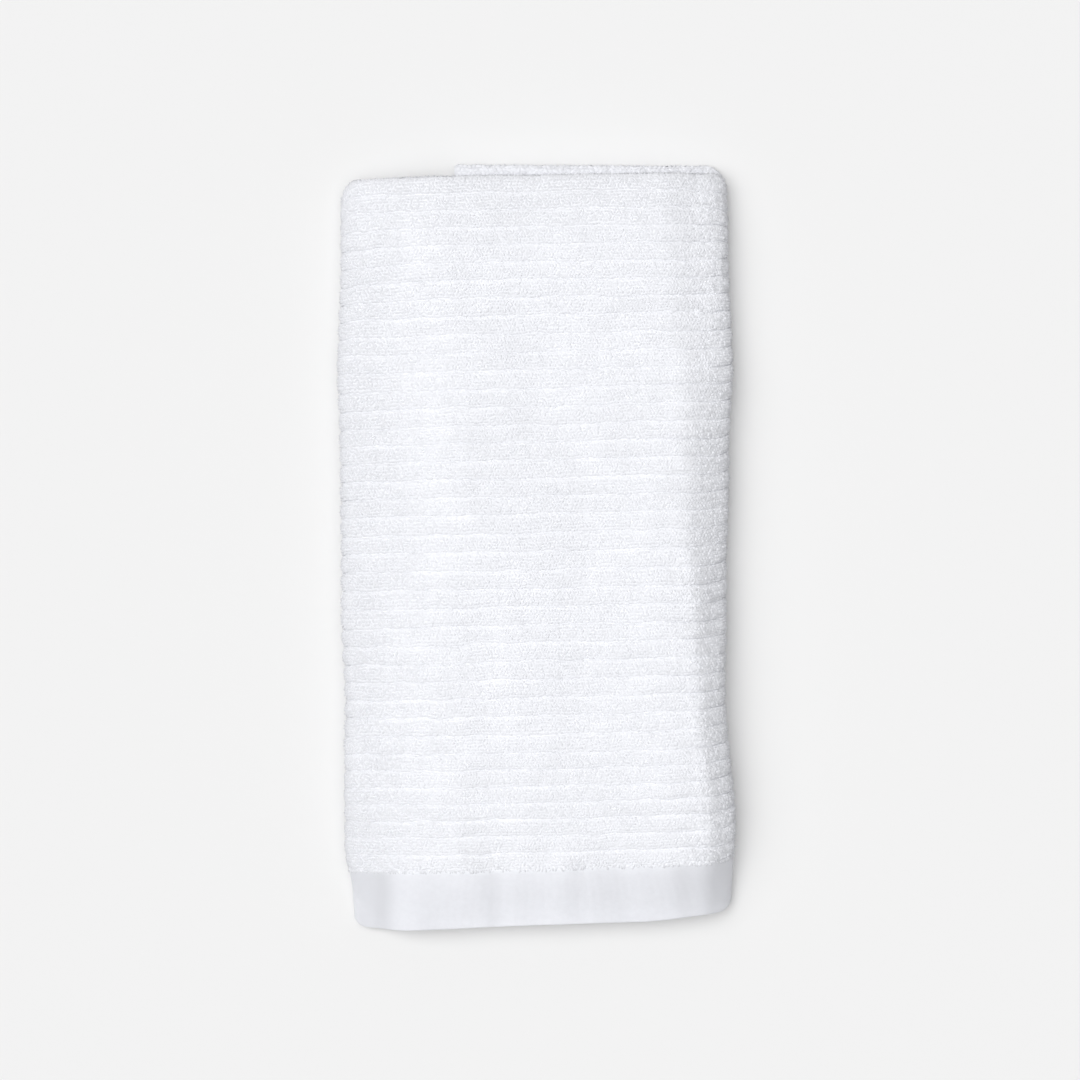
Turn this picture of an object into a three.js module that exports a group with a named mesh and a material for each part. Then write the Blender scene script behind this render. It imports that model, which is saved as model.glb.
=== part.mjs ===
// A bath towel of ribbed terry cotton, 700 x 1400 mm, lying folded on a flat surface.
// +Z is up, +Y runs towards the folded top end, -Y towards the plain-woven end band, and the
// origin is under the middle of the towel. Millimetres.
//
// The towel is one cloth. It is folded twice:
//   first along its length, like a letter, into a slab of three layers: the back layer, the short
//   layer tucked between, and the face layer, which ends in the band that shows;
//   then across its width: both sides of that slab are turned under, the left one first, so that
//   the towel has a middle slab and a bottom slab under its front.
// A point of the cloth is worked out in the slab's own section (y, level), and that section is then
// carried round the two side folds.
import * as THREE from "three";

// The cloth as it is cut and woven.
const CLOTH = {
  width: 700,
  length: 1400,
  terry: 3.5, // between the pile's tips on its two faces, pressed
  band: 2.0, // the plain-woven end, turned back on itself as a hem
  bandLength: 42,
  bandRecess: 1.2, // the band lies this much below the pile's tips
};

// The clear space between the layers of a slab, and between one slab and the next.
const LAYER_GAP = 1.3;
const SLAB_GAP = 1.4;

// The folded towel.
const FOLDED = {
  length: 532, // from the band's lower edge to the top fold
  tuck: 20, // the bottom fold stands this far back from the band's lower edge
  front: 241, // between the two side folds
  rightTurn: 217, // the cloth that the right fold and its flap take
  bottomSlope: 0.034, // the lower end is turned by this slope, left side down, and the top end by
  topSlope: 0.016, // this one
  flapShift: 7.5, // the bottom flap lies this much further up than the front, at the right fold,
  flapTurn: 0.02, // and turns away by this slope towards its free edge
};

// Outline of the towel seen from above, from its lower end to its upper end.
const OUTLINE = [
  { y: 0, left: -131.5, right: 140.5 },
  { y: 22, left: -132.5, right: 141.0 },
  { y: 62, left: -137.5, right: 142.0 },
  { y: 160, left: -137.5, right: 134.5 },
  { y: 235, left: -140.0, right: 136.0 },
  { y: 330, left: -140.5, right: 137.5 },
  { y: 392, left: -142.5, right: 140.5 },
  { y: 470, left: -140.5, right: 137.0 },
  { y: 532, left: -140.0, right: 136.5 },
];

// How far the band's lower edge is drawn up (+) or hangs out (-) across the towel.
const BAND_EDGE = [
  { x: -132, draw: 1.0 },
  { x: -98, draw: -1.8 },
  { x: -45, draw: -1.0 },
  { x: 15, draw: -0.4 },
  { x: 75, draw: -0.6 },
  { x: 136, draw: 3.4 },
];

// The share of a slab's full thickness along the towel: the band end holds one thin layer.
const FULLNESS = [
  { y: 0, share: 0.72 },
  { y: 40, share: 1.0 },
  { y: 360, share: 1.0 },
  { y: 430, share: 0.88 },
  { y: 532, share: 0.88 },
];

// Soft ridges (+) and troughs (-) of the front, as a share of the towel's height. Each lies on the
// line from (x0, y0) to (x1, y1) and fades out over its half width, and past its ends over this many
// times as much.
const CREASE_END = 1.6;
const CREASES = [
  { x0: -30, y0: 10, x1: -44, y1: 210, halfWidth: 34, depth: -0.05 },
  { x0: -88, y0: 20, x1: -92, y1: 200, halfWidth: 30, depth: 0.03 },
  { x0: 96, y0: 60, x1: 84, y1: 280, halfWidth: 34, depth: 0.045 },
  { x0: 36, y0: 150, x1: 28, y1: 330, halfWidth: 30, depth: -0.025 },
  { x0: 4, y0: 350, x1: -8, y1: 505, halfWidth: 36, depth: -0.04 },
  { x0: -70, y0: 330, x1: -76, y1: 480, halfWidth: 34, depth: 0.025 },
  { x0: 18, y0: 0, x1: 20, y1: 40, halfWidth: 16, depth: 0.05 },
];

// How much lower the towel lies towards its sides and ends, as a share of its height, and how far in
// from the edge that reaches. The right side's slope changes along the towel.
const RIGHT_SLOPE = [
  { y: 150, depth: 0.12, reach: 24 },
  { y: 210, depth: 0.22, reach: 28 },
  { y: 290, depth: 0.27, reach: 35 },
  { y: 490, depth: 0.26, reach: 50 },
];
const RIGHT_SLOPE_END = 6;
const SLOPES = {
  left: { depth: 0.34, reach: 44 },
  top: { depth: 0.2, reach: 80 },
  bottom: { depth: 0.42, reach: 120 },
};
// The band's right end droops, up to where the terry is level again.
const BAND_RIGHT = { depth: 0.12, reach: 30, full: 30, none: 68 };
// The band's left end turns down over this stretch from the left side.
const BAND_LEFT = { depth: 0.3, start: 8, end: 44 };
const LEAST_SHARE = 0.3; // no part of the towel is pressed flatter than this
const CORNER = { topLeft: 13, topRight: 15, bottomLeft: 11, bottomRight: 9 };
const CORNER_REACH = { top: 62, bottom: 30 };
const SAG = { start: 4, run: 80 }; // past the bottom flap's edge, the left side sinks to the surface

// Where the grid lines of the cloth lie, as shares of the front between its two side folds.
const FRONT_LINES = [0, 0.1, 0.16, 0.21, 0.26, 0.32, 0.39, 0.47, 0.57, 0.68, 0.79, 0.87, 0.94, 1];
// A flap has those of them that its shortest layer reaches.
const LAST_LINE = { left: 0.8, right: 0.35 };
// Where they lie along the towel, between the band end and the top fold.
const LENGTH_LINES = [62, 105, 160, 215, 270, 325, 375, 420, 465, 500];
const NEAR_BAND = 42;
const BAND_LINES = [30, 20, 10, 0];
const STEPS = { leftFold: 7, rightFold: 8, topFold: 5, bottomFold: 5 };

const COLOUR = { cloth: 0xf1f2f7 };

// ---- small helpers ----

const clamp01 = (t) => Math.min(1, Math.max(0, t));

// 0 at a, 1 at b, level at both.
function smooth(a, b, x) {
  const t = clamp01((x - a) / (b - a));
  return t * t * (3 - 2 * t);
}

// The value of a table's column where its first column (x or y) has that value, eased from row to
// row.
function fromTable(rows, column, value) {
  const [key] = Object.keys(rows[0]);
  const k = rows.findIndex((row) => row[key] >= value);
  if (k === 0) return rows[0][column];
  if (k < 0) return rows[rows.length - 1][column];
  const low = rows[k - 1];
  const high = rows[k];
  return low[column] + (high[column] - low[column]) * smooth(low[key], high[key], value);
}

// ---- the slab: the cloth folded along its length ----

const FULL_SLAB = 3 * CLOTH.terry + 2 * LAYER_GAP;
const slabThickness = (y) => FULL_SLAB * fromTable(FULLNESS, "share", y);

// Half the cloth's thickness and its recess at a distance from its hemmed end. The terry begins
// within this distance on either side of the band's inner edge.
const BAND_STEP = 1.5;
function clothAt(fromEnd) {
  const terry = smooth(CLOTH.bandLength - BAND_STEP, CLOTH.bandLength + BAND_STEP, fromEnd);
  return {
    half: (CLOTH.band + (CLOTH.terry - CLOTH.band) * terry) / 2,
    recess: CLOTH.bandRecess * (1 - terry),
  };
}

const BACK_LEVEL = CLOTH.terry / 2;
const TUCKED_LEVEL = BACK_LEVEL + CLOTH.terry + LAYER_GAP;
const topFoldRadius = (slabThickness(FOLDED.length) - CLOTH.terry) / 2;
const TOP_CENTRE = FOLDED.length - topFoldRadius - CLOTH.terry / 2;
const bottomFoldRadius = (TUCKED_LEVEL - BACK_LEVEL) / 2;
const BOTTOM_CENTRE = FOLDED.tuck + bottomFoldRadius + CLOTH.terry / 2;
const TUCKED_LENGTH =
  CLOTH.length -
  TOP_CENTRE -
  Math.PI * topFoldRadius -
  (TOP_CENTRE - BOTTOM_CENTRE) -
  Math.PI * bottomFoldRadius;
const TUCKED_END = BOTTOM_CENTRE + TUCKED_LENGTH;

// The level at which a layer's free side edges are measured: a fold holds the edges of its two
// layers together, and they part over this distance from it.
const EDGES_PART = 150;
const BOTTOM_FOLD_LEVEL = (BACK_LEVEL + TUCKED_LEVEL) / 2;
const TOP_FOLD_LEVEL = BACK_LEVEL + topFoldRadius;
function edgeLevel(y, level, atBottomFold, atTopFold) {
  const nearBottom = atBottomFold ? 1 - smooth(0, EDGES_PART, y - BOTTOM_CENTRE) : 0;
  const nearTop = atTopFold ? 1 - smooth(0, EDGES_PART, TOP_CENTRE - y) : 0;
  return (
    level + nearBottom * (BOTTOM_FOLD_LEVEL - level) + nearTop * (TOP_FOLD_LEVEL - level)
  );
}

// The three layers. Each row of the cloth has its place in the slab's section, the face side's
// normal there (ny, nz), half the cloth's thickness, and the level for its free edges.
function tuckedRow(y) {
  const { half } = clothAt(TUCKED_END - y);
  const edge = edgeLevel(y, TUCKED_LEVEL, true, false);
  return { y, level: TUCKED_LEVEL, half, ny: 0, nz: 1, edge };
}

function backRow(y) {
  const edge = edgeLevel(y, BACK_LEVEL, true, true);
  return { y, level: BACK_LEVEL, half: CLOTH.terry / 2, ny: 0, nz: -1, edge };
}

function faceRow(y) {
  const { half, recess } = clothAt(y);
  const level = slabThickness(y) - recess - half;
  return { y, level, half, ny: 0, nz: 1, edge: edgeLevel(y, level, false, true) };
}

// The two folds, by the angle from the fold's middle.
function bottomFoldRow(turn) {
  return {
    y: BOTTOM_CENTRE - bottomFoldRadius * Math.cos(turn),
    level: BOTTOM_FOLD_LEVEL + bottomFoldRadius * Math.sin(turn),
    half: CLOTH.terry / 2,
    ny: -Math.cos(turn),
    nz: Math.sin(turn),
    edge: BOTTOM_FOLD_LEVEL,
  };
}

function topFoldRow(turn) {
  return {
    y: TOP_CENTRE + topFoldRadius * Math.cos(turn),
    level: TOP_FOLD_LEVEL + topFoldRadius * Math.sin(turn),
    half: CLOTH.terry / 2,
    ny: Math.cos(turn),
    nz: Math.sin(turn),
    edge: TOP_FOLD_LEVEL,
  };
}

// All rows, from the tucked layer's own hemmed end to the band's lower edge.
function slabRows() {
  const tuckedBand = TUCKED_END - CLOTH.bandLength;
  const tuckedLines = LENGTH_LINES.filter((y) => y < tuckedBand - CLOTH.bandLength / 2);
  const rows = [TUCKED_END, tuckedBand + BAND_STEP, tuckedBand - BAND_STEP].map(tuckedRow);
  rows.push(...[...tuckedLines].reverse().map(tuckedRow), tuckedRow(NEAR_BAND));
  for (let k = 0; k <= STEPS.bottomFold; k++)
    rows.push(bottomFoldRow(Math.PI * (0.5 - k / STEPS.bottomFold)));
  rows.push(backRow(NEAR_BAND), ...LENGTH_LINES.map(backRow));
  for (let k = 0; k <= STEPS.topFold; k++)
    rows.push(topFoldRow(Math.PI * (k / STEPS.topFold - 0.5)));
  rows.push(...[...LENGTH_LINES].reverse().map(faceRow));
  rows.push(faceRow(CLOTH.bandLength + BAND_STEP), faceRow(CLOTH.bandLength - BAND_STEP));
  rows.push(...BAND_LINES.map(faceRow));
  return rows;
}

// ---- the side folds: the slab carried round the left and the right ----

// The fold's centres and inner radii at a place along the towel.
function sideFolds(y) {
  const slab = slabThickness(y);
  const rightRadius = (slab + 2 * SLAB_GAP) / 2;
  const leftRadius = SLAB_GAP / 2;
  return {
    slab,
    rightRadius,
    leftRadius,
    rightHeight: (3 * slab + 2 * SLAB_GAP) / 2,
    leftHeight: 2 * slab + 1.5 * SLAB_GAP,
    leftX: fromTable(OUTLINE, "left", y) + slab + leftRadius,
    rightX: fromTable(OUTLINE, "right", y) - slab - rightRadius,
  };
}

const LEFT_TURN = CLOTH.width - FOLDED.front - FOLDED.rightTurn;

// Where the free edges of the two flaps lie, for a layer at that level of the slab.
function flapEnds(fold, level) {
  return {
    left: fold.leftX + LEFT_TURN - Math.PI * (fold.leftRadius + level),
    right: fold.rightX - FOLDED.rightTurn + Math.PI * (fold.rightRadius + level),
  };
}

// Places across the cloth, from the left flap's free edge to the right flap's. Each gives the
// point (x, z) for a level of the slab, and its share of the bottom flap's shift.
function crossPlaces() {
  const onFront = (share) => (fold) => fold.leftX + share * (fold.rightX - fold.leftX);
  // From a line of the grid to the layer's own free edge.
  const towards = (line, side, share) => (fold, edge) =>
    onFront(line)(fold) + share * (flapEnds(fold, edge)[side] - onFront(line)(fold));
  const front = (xOf) => ({
    at: (fold, level) => [xOf(fold), fold.leftHeight + fold.leftRadius + level],
    shift: 0,
  });
  const leftFlap = (xOf) => ({
    at: (fold, level, edge) => [xOf(fold, edge), fold.leftHeight - fold.leftRadius - level],
    shift: 0,
  });
  const rightFlap = (xOf) => ({
    at: (fold, level, edge) => [xOf(fold, edge), fold.rightHeight - fold.rightRadius - level],
    shift: 1,
  });
  const leftFold = (turn) => ({
    at: (fold, level) => [
      fold.leftX - (fold.leftRadius + level) * Math.cos(turn),
      fold.leftHeight + (fold.leftRadius + level) * Math.sin(turn),
    ],
    shift: 0,
  });
  const rightFold = (turn, shift) => ({
    at: (fold, level) => [
      fold.rightX + (fold.rightRadius + level) * Math.cos(turn),
      fold.rightHeight + (fold.rightRadius + level) * Math.sin(turn),
    ],
    shift,
  });
  const leftLines = FRONT_LINES.filter((line) => line < LAST_LINE.left).reverse();
  const rightLines = FRONT_LINES.filter((line) => line > LAST_LINE.right).reverse();
  const places = [];
  for (const share of [1, 0.5])
    places.push(leftFlap(towards(leftLines[0], "left", share)));
  for (const line of leftLines.slice(0, -1)) places.push(leftFlap(onFront(line)));
  for (let k = 0; k < STEPS.leftFold; k++)
    places.push(leftFold(Math.PI * (k / STEPS.leftFold - 0.5)));
  for (const line of FRONT_LINES) places.push(front(onFront(line)));
  for (let k = 1; k <= STEPS.rightFold; k++)
    places.push(rightFold(Math.PI * (0.5 - k / STEPS.rightFold), smooth(0, STEPS.rightFold, k)));
  for (const line of rightLines.slice(1)) places.push(rightFlap(onFront(line)));
  for (const share of [0.5, 1])
    places.push(rightFlap(towards(rightLines[rightLines.length - 1], "right", share)));
  return places;
}

// ---- how the folded towel lies ----

// 1 at an edge, falling to 0 at the slope's reach, and ever steeper towards the edge.
const droop = (slope, distance) => slope.depth * clamp01(1 - distance / slope.reach) ** 2;

// The towel's height at (x, y) as a share of a stiff stack's: its slopes to the edges, and creases.
function settle(x, y) {
  const fromLeft = x - fromTable(OUTLINE, "left", y);
  const fromRight = fromTable(OUTLINE, "right", y) - x;
  const rightReach = fromTable(RIGHT_SLOPE, "reach", y);
  const bandRight = 1 - smooth(BAND_RIGHT.full, BAND_RIGHT.none, y);
  const bandLeft = 1 - smooth(BAND_LEFT.start, BAND_LEFT.end, fromLeft);
  let share = 1;
  share -= fromTable(RIGHT_SLOPE, "depth", y) * (1 - smooth(RIGHT_SLOPE_END, rightReach, fromRight));
  share -= droop(SLOPES.left, fromLeft);
  share -= droop(SLOPES.top, FOLDED.length - y);
  share -= droop(SLOPES.bottom, y);
  share -= bandRight * droop(BAND_RIGHT, fromRight);
  share -= BAND_LEFT.depth * bandLeft * clamp01(1 - y / CLOTH.bandLength);
  for (const crease of CREASES) share += creaseAt(crease, x, y);
  return Math.max(share, LEAST_SHARE);
}

// A crease's share at (x, y): a raised cosine across its line, eased out past its ends.
function creaseAt(crease, x, y) {
  const run = new THREE.Vector2(crease.x1 - crease.x0, crease.y1 - crease.y0);
  const from = new THREE.Vector2(x - crease.x0, y - crease.y0);
  const length = run.length();
  const along = from.dot(run) / length;
  const across = Math.abs(from.cross(run)) / length;
  const past = Math.max(0, -along, along - length) / (CREASE_END * crease.halfWidth);
  const distance = Math.hypot(across / crease.halfWidth, past);
  return distance < 1 ? crease.depth * 0.5 * (1 + Math.cos(Math.PI * distance)) : 0;
}

// How far a rounded corner of that radius draws the end back, at a distance from the side.
function cornerDraw(radius, fromSide) {
  const inside = Math.max(0, radius - fromSide);
  return radius - Math.sqrt(radius * radius - inside * inside);
}

// Carries a point of the stiff stack to where it lies: the left side sinks to the surface past the
// bottom flap's free edge, the height settles, the corners round and the lower end turns.
function lay(point, fold, y) {
  const [x, z] = point;
  const faceLevel = fold.slab - CLOTH.terry / 2;
  const flapEdge = flapEnds(fold, edgeLevel(y, faceLevel, false, true)).right;
  const sunk = (fold.slab + SLAB_GAP) * smooth(SAG.start, SAG.start + SAG.run, flapEdge - x);
  const left = fromTable(OUTLINE, "left", y);
  const right = fromTable(OUTLINE, "right", y);
  const nearTop = smooth(FOLDED.length - CORNER_REACH.top, FOLDED.length, y);
  const nearBottom = 1 - smooth(0, CORNER_REACH.bottom, y);
  const top = cornerDraw(CORNER.topLeft, Math.max(0, x - left)) +
    cornerDraw(CORNER.topRight, Math.max(0, right - x));
  const bottom = cornerDraw(CORNER.bottomLeft, Math.max(0, x - left)) +
    cornerDraw(CORNER.bottomRight, Math.max(0, right - x));
  const up = y / FOLDED.length;
  const turned = x * (FOLDED.bottomSlope * (1 - up) + FOLDED.topSlope * up);
  const drawn = fromTable(BAND_EDGE, "draw", x) * (1 - smooth(0, CLOTH.bandLength, y));
  return [
    x,
    y + turned + drawn + nearBottom * bottom - nearTop * top,
    settle(x, y) * (z - sunk),
  ];
}

// ---- the cloth's solid ----

// One closed solid: the face side and the back side of the cloth on the same grid, joined at its
// four edges.
function clothGeometry() {
  const rows = slabRows();
  const places = crossPlaces();
  const across = places.length;
  const positions = [];
  for (const side of [1, -1])
    for (const row of rows)
      for (const place of places) {
        const y = row.y + side * row.half * row.ny;
        const level = row.level + side * row.half * row.nz;
        const fold = sideFolds(y);
        const point = place.at(fold, level, row.edge);
        const fromFold = Math.max(0, fold.rightX - point[0]);
        const shift = place.shift * (FOLDED.flapShift + FOLDED.flapTurn * fromFold);
        positions.push(...lay(point, fold, y + shift));
      }
  const face = (row, place) => row * across + place;
  const back = (row, place) => rows.length * across + row * across + place;
  const index = [];
  const quad = (a, b, c, d) => index.push(a, c, b, a, d, c);
  for (let r = 0; r + 1 < rows.length; r++)
    for (let p = 0; p + 1 < across; p++) {
      quad(face(r, p), face(r, p + 1), face(r + 1, p + 1), face(r + 1, p));
      quad(back(r, p), back(r + 1, p), back(r + 1, p + 1), back(r, p + 1));
    }
  const lastPlace = across - 1;
  const lastRow = rows.length - 1;
  for (let r = 0; r < lastRow; r++) {
    quad(face(r, 0), face(r + 1, 0), back(r + 1, 0), back(r, 0));
    quad(face(r + 1, lastPlace), face(r, lastPlace), back(r, lastPlace), back(r + 1, lastPlace));
  }
  for (let p = 0; p < lastPlace; p++) {
    quad(face(0, p + 1), face(0, p), back(0, p), back(0, p + 1));
    quad(face(lastRow, p), face(lastRow, p + 1), back(lastRow, p + 1), back(lastRow, p));
  }
  const geometry = new THREE.BufferGeometry();
  geometry.setAttribute("position", new THREE.Float32BufferAttribute(positions, 3));
  geometry.setIndex(index);
  geometry.computeVertexNormals();
  return geometry;
}

function clothMaterial() {
  return new THREE.MeshStandardMaterial({ color: COLOUR.cloth, roughness: 0.95, metalness: 0 });
}

// The towel stands over the origin: the middle of its box, at its lowest point.
function towel() {
  const mesh = new THREE.Mesh(clothGeometry(), clothMaterial());
  mesh.name = "towel";
  mesh.geometry.computeBoundingBox();
  const box = mesh.geometry.boundingBox;
  const middle = box.getCenter(new THREE.Vector3());
  mesh.position.set(-middle.x, -middle.y, -box.min.z);
  return mesh;
}

const part = new THREE.Group();
part.name = "folded_bath_towel";
part.add(towel());

export default part;
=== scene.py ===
"""A bath towel of white ribbed terry with a plain-woven end band, folded and lying flat.

The towel is one cloth, 700 by 1400 mm. It is folded along its length, like a letter, into a slab
of three layers, and then both sides of that slab are turned under, the left one first.

A place on the cloth has two parameters: along, the distance in millimetres from the tucked end
to the end that shows the band, and across, from 0 at the left flap's free edge through 1 to 2
round the left fold, 2 to 3 over the front, 3 to 4 round the right fold and 4 to 5 to the right
flap's free edge. Width is the same in millimetres of cloth. place_cloth() carries whole arrays
of places to the folded towel. Shapes are worked out in millimetres, with +Z up and +Y towards
the folded top end, and go into the meshes in metres.
"""

import bpy
import numpy as np
from bpy.props import FloatProperty, FloatVectorProperty, PointerProperty
from bpy.types import Operator, Panel, PropertyGroup
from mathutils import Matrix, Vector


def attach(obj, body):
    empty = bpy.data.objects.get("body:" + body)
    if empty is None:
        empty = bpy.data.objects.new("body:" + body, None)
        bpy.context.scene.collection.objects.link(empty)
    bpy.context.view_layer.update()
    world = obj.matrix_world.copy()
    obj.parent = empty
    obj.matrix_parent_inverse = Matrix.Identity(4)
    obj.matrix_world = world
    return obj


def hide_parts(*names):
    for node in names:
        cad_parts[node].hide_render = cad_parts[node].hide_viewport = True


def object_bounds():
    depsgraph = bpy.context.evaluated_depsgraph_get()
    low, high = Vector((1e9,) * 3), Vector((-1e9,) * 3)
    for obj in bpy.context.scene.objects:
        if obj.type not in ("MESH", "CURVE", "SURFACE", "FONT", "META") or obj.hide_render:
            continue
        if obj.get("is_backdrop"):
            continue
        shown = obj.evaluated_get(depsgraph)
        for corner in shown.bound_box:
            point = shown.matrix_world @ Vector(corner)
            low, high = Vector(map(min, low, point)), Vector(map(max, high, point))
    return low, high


bl_info = {
    "name": "Folded Bath Towel",
    "version": (1, 0, 0),
    "blender": (4, 5, 0),
    "location": "3D Viewport > Sidebar > Towel",
    "description": "A folded bath towel of ribbed terry with a plain-woven end band",
    "category": "Add Mesh",
}

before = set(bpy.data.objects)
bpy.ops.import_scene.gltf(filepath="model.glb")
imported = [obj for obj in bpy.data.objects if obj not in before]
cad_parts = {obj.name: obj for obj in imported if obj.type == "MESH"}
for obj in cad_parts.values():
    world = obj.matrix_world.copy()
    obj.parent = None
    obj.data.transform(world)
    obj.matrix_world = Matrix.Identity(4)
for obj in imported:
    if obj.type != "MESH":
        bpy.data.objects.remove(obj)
FRAME_LOW, FRAME_HIGH = (np.array(corner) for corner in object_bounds())
NODE = "towel"
BODY = "root"
METRES = 0.001

# ---- the cloth as cut, and the folded towel, in millimetres ----

CLOTH_WIDTH = 700.0
CLOTH_LENGTH = 1400.0
TERRY = 3.5  # between the pile's tips on the cloth's two faces, pressed
BAND = 2.0
BAND_LENGTH = 42.0
BAND_RECESS = 1.2  # the band lies this much below the pile's tips
LAYER_GAP = 1.3
SLAB_GAP = 1.4

FOLDED_LENGTH = 532.0
TUCK = 20.0  # the bottom fold stands this far back from the band's lower edge
FRONT_WIDTH = 241.0
RIGHT_TURN = 217.0
LEFT_TURN = CLOTH_WIDTH - FRONT_WIDTH - RIGHT_TURN
BOTTOM_SLOPE = 0.034  # how far the lower end lies turned in the plane
TOP_SLOPE = 0.016  # and the top end
FLAP_SHIFT = 7.5  # the right flap lies this much further up than the front
FLAP_TURN = 0.02  # and more with the distance from its fold

# Tables of (place, value), eased from row to row.
LEFT_OUTLINE = [
    (0, -131.5), (22, -132.5), (62, -137.5), (160, -137.5), (235, -140.0),
    (330, -140.5), (392, -142.5), (470, -140.5), (532, -140.0),
]
RIGHT_OUTLINE = [
    (0, 140.5), (22, 141.0), (62, 142.0), (160, 134.5), (235, 136.0),
    (330, 137.5), (392, 140.5), (470, 137.0), (532, 136.5),
]
BAND_EDGE = [(-132, 1.0), (-98, -1.8), (-45, -1.0), (15, -0.4), (75, -0.6), (136, 3.4)]
FULLNESS = [(0, 0.72), (40, 1.0), (360, 1.0), (430, 0.88), (532, 0.88)]

RIGHT_SLOPE = [(150, 0.12), (210, 0.22), (290, 0.27), (490, 0.26)]
RIGHT_REACH = [(150, 24), (210, 28), (290, 35), (490, 50)]
RIGHT_FOOT = 6  # up to this distance from the right side its slope has the whole depth
DROOPS = {  # towards an edge: the share of the height lost there, and how far in that begins
    "left": (0.34, 44),
    "top": (0.2, 80),
    "bottom": (0.42, 120),
    "band right": (0.12, 30),
}
BAND_TURN = (8, 44)  # from the left side: the band's left end turns down over this stretch
BAND_DROP = 0.3  # the share of the height that it loses there
BAND_FADE = (BAND_LENGTH - 12, BAND_LENGTH + 26)  # the droop at the band's right end fades out

# Soft ridges and troughs of the front: (x0, y0, x1, y1, half width, share of the height).
CREASES = [
    (-30, 10, -44, 210, 34, -0.05),
    (-88, 20, -92, 200, 30, 0.03),
    (96, 60, 84, 280, 34, 0.045),
    (36, 150, 28, 330, 30, -0.025),
    (4, 350, -8, 505, 36, -0.04),
    (-70, 330, -76, 480, 34, 0.025),
    (18, 0, 20, 40, 16, 0.05),
]
CREASE_END = 1.6  # a crease eases out past its ends over this many half widths
CORNERS = {"top": (13, 15), "bottom": (11, 9)}  # radii at the left and the right
CORNER_REACH = {"top": 62, "bottom": 30}
SAG = (4, 84)  # past the bottom flap's edge the left side sinks over this stretch
LEAST_SHARE = 0.3  # no part of the towel is pressed flatter than this
EDGES_PART = 150  # the layers' free edges part over this distance from an end fold

# Noises over the cloth. A layer is (amount, seed, size across, size along), in millimetres.
LATTICE = 97  # a noise repeats after this many values
LATTICE_START = 1000
GROOVE_WANDER = [(0.9, 21, 13, 11), (0.7, 22, 60, 40)]
TERRY_LUMPS = [(0.16, 23, 9, 7), (0.3, 24, 34, 26)]
GROOVES_UNEVEN = [(0.6, 25, 15, 12)]
# this noise breaks up the painted highlights on the ribs' crests
CREST_HIGHLIGHTS_UNEVEN = [(0.6, 26, 24, 9), (0.25, 29, 7, 7)]
# this noise paints soft sheen streaks, lighter and darker, across the band
BAND_PAINTED_STREAKS = [(0.16, 27, 11, 1)]
# this noise makes the line where the curls' painted highlights and shade begin uneven
PAINTED_CURLS_UNEVEN = [(8, 28, 30, 17)]

# ---- small helpers ----


def smooth(start, end, x):
    """0 up to start, 1 from end on, and t*t*(3 - 2*t) between, where t is the share of the way."""
    t = np.clip((x - start) / (end - start), 0, 1)
    return t * t * (3 - 2 * t)


def eased(rows, x):
    """The table's value at x, going from row to row by smooth()."""
    key, value = np.array(rows, float).T
    k = np.clip(np.searchsorted(key, x), 1, len(key) - 1)
    return value[k - 1] + (value[k] - value[k - 1]) * smooth(key[k - 1], key[k], x)


def soft_noise(layers, x, y):
    """Smooth noise, the sum of its layers. Each takes random values, up to its amount either way,
    on a lattice of its size, and eases between them."""
    total = 0
    for amount, seed, size_x, size_y in layers:
        lattice = np.random.default_rng(seed).uniform(-1, 1, (LATTICE, LATTICE))
        column, row = x / size_x + LATTICE_START, y / size_y + LATTICE_START
        i, j = np.floor(column).astype(int), np.floor(row).astype(int)
        s, t = smooth(0, 1, column - i), smooth(0, 1, row - j)
        i, after_i, j, after_j = (k % LATTICE for k in (i, i + 1, j, j + 1))
        low = lattice[i, j] * (1 - s) + lattice[after_i, j] * s
        high = lattice[i, after_j] * (1 - s) + lattice[after_i, after_j] * s
        total = total + amount * (low * (1 - t) + high * t)
    return total


# ---- the slab: the cloth folded along its length ----

FULL_SLAB = 3 * TERRY + 2 * LAYER_GAP
BACK_LEVEL = TERRY / 2
TUCKED_LEVEL = BACK_LEVEL + TERRY + LAYER_GAP
TOP_RADIUS = (FULL_SLAB * FULLNESS[-1][1] - TERRY) / 2
BOTTOM_RADIUS = (TUCKED_LEVEL - BACK_LEVEL) / 2
TOP_CENTRE = FOLDED_LENGTH - TOP_RADIUS - TERRY / 2
BOTTOM_CENTRE = TUCK + BOTTOM_RADIUS + TERRY / 2
TOP_FOLD_LEVEL = BACK_LEVEL + TOP_RADIUS
BOTTOM_FOLD_LEVEL = BACK_LEVEL + BOTTOM_RADIUS

# Where each stretch of the cloth begins along it, worked back from the band's end.
FACE_AT = CLOTH_LENGTH - TOP_CENTRE
TOP_FOLD_AT = FACE_AT - np.pi * TOP_RADIUS
BACK_AT = TOP_FOLD_AT - (TOP_CENTRE - BOTTOM_CENTRE)
BOTTOM_FOLD_AT = BACK_AT - np.pi * BOTTOM_RADIUS
BAND_AT = CLOTH_LENGTH - BAND_LENGTH

TERRY_STEP = 0.5  # the terry ends this close about the band's inner edge
HEM_ROUND = 1.1  # the band's turned edge is rounded over this length


def slab_thickness(y):
    """The slab's full thickness times the fullness at y."""
    return FULL_SLAB * eased(FULLNESS, y)


def cloth_thickness(along):
    """Half the cloth's thickness and its recess: terry, easing to the band near the two ends."""
    from_end = np.minimum(along, CLOTH_LENGTH - along)
    terry = smooth(BAND_LENGTH - TERRY_STEP, BAND_LENGTH + TERRY_STEP, from_end)
    return (BAND + (TERRY - BAND) * terry) / 2, BAND_RECESS * (1 - terry)


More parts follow.
